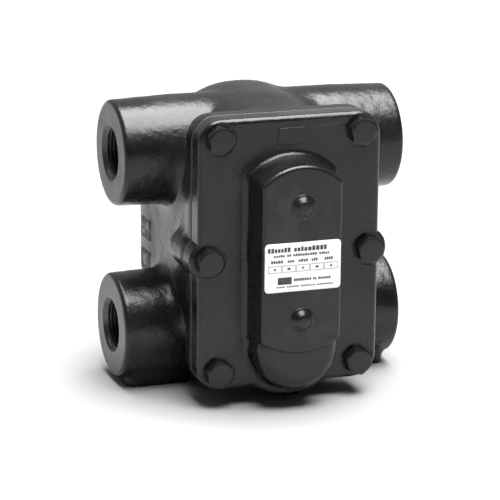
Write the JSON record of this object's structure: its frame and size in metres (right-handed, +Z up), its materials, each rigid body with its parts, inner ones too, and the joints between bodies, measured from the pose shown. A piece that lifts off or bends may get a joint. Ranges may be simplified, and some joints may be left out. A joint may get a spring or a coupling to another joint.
{
  "type": "steam trap",
  "caption": "Float and thermostatic steam trap: cast-iron body with threaded ports on both sides, bolted front cover with raised channel, float and air vent inside.",
  "frame": {"origin": "centre of the bounding box, at the bottom of the feet", "axes": "+X to the right when facing the cover, +Y from the cover into the casing, +Z up"},
  "size_m": [0.148, 0.1362, 0.149],
  "materials": {
    "black_paint": "semi-gloss black paint over cast iron",
    "cut_iron": "bare iron, cut by the tap",
    "bolt_black": "painted hex heads",
    "gasket": "graphite fibre sheet",
    "label": "white plate",
    "stainless": "pressed and turned stainless steel",
    "brass": "turned brass",
    "zinc_steel": "zinc-plated steel"
  },
  "bodies": {
    "casing": {"body": "black_paint", "cover": "black_paint", "cover_gasket": "gasket", "cover_bolts": "bolt_black", "data_plate": "label", "upper_channel_plug": "black_paint", "lower_channel_plug": "black_paint", "main_seat": "stainless", "seat_washer": "zinc_steel", "fulcrum_bracket": "stainless", "bracket_screws": "zinc_steel", "fulcrum_pin": "stainless", "pin_clips": "zinc_steel", "vent_seat": "brass", "vent_cage": "stainless", "vent_capsule": "stainless", "capsule_ring": "stainless", "capsule_support": "stainless"},
    "float_arm": {"float_lever": "stainless", "valve_head": "stainless", "valve_nut": "zinc_steel", "float_stem": "stainless", "stem_nut": "zinc_steel", "float_ball": "stainless"},
    "vent_poppet": {"vent_valve": "brass"}
  },
  "joints": [
    {"name": "float_swing", "type": "hinge", "parent": "casing", "child": "float_arm", "pos_m": [0, -0.0199, 0.066], "axis": [1, 0, 0], "range_deg": [0, 18]},
    {"name": "vent_close", "type": "slide", "parent": "casing", "child": "vent_poppet", "axis": [0, -1, 0], "range_m": [0, 0.0019], "stiffness_N_per_m": 400}
  ]
}
